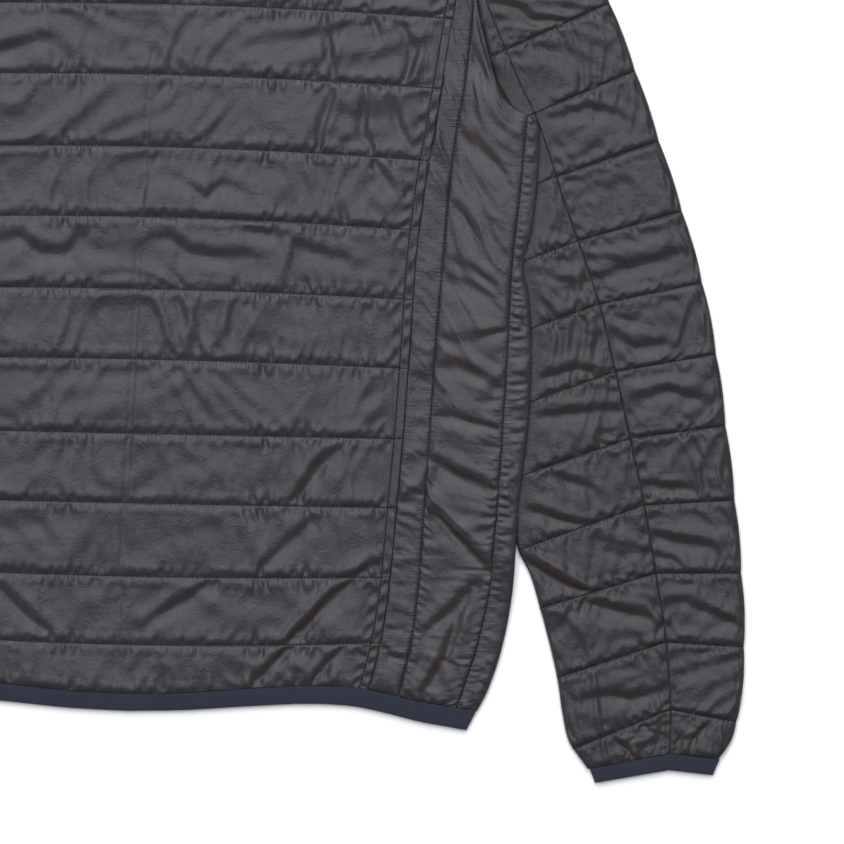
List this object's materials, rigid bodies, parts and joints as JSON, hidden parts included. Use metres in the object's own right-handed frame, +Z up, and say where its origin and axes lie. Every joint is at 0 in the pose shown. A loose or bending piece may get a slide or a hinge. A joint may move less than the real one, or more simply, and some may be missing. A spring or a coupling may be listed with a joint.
{
  "type": "quilted jacket",
  "caption": "Light quilted jacket laid flat on its front: cross-quilted back, upright-quilted side panels, two-piece sleeves, stand collar and stretch-bound hem and cuffs.",
  "frame": {"origin": "middle of the garment's length and width, on the surface it lies on", "axes": "+X across the garment to the wearer's right, +Y from the hem to the collar, +Z up from the surface, out of the garment's back"},
  "size_m": [0.8644, 0.8088, 0.012],
  "materials": {
    "nylon": "thin, slightly shiny downproof nylon, warm charcoal with a red-brown glint along its folds",
    "binding": "matte navy stretch binding",
    "zip_tape": "woven polyester tape",
    "zip_teeth": "moulded black plastic",
    "zip_slider": "black enamelled zinc"
  },
  "bodies": {
    "root": {"back_panel": "nylon", "side_panel_right": "nylon", "side_panel_left": "nylon", "front_right": "nylon", "front_left": "nylon", "sleeve_outer_right": "nylon", "sleeve_outer_left": "nylon", "sleeve_under_right": "nylon", "sleeve_under_left": "nylon", "collar": "nylon", "hem_binding": "binding", "cuff_binding_right": "binding", "cuff_binding_left": "binding", "zip_tape_right": "zip_tape", "zip_tape_left": "zip_tape", "zip_teeth": "zip_teeth", "zip_slider": "zip_slider", "zip_puller": "zip_tape"}
  },
  "joints": []
}
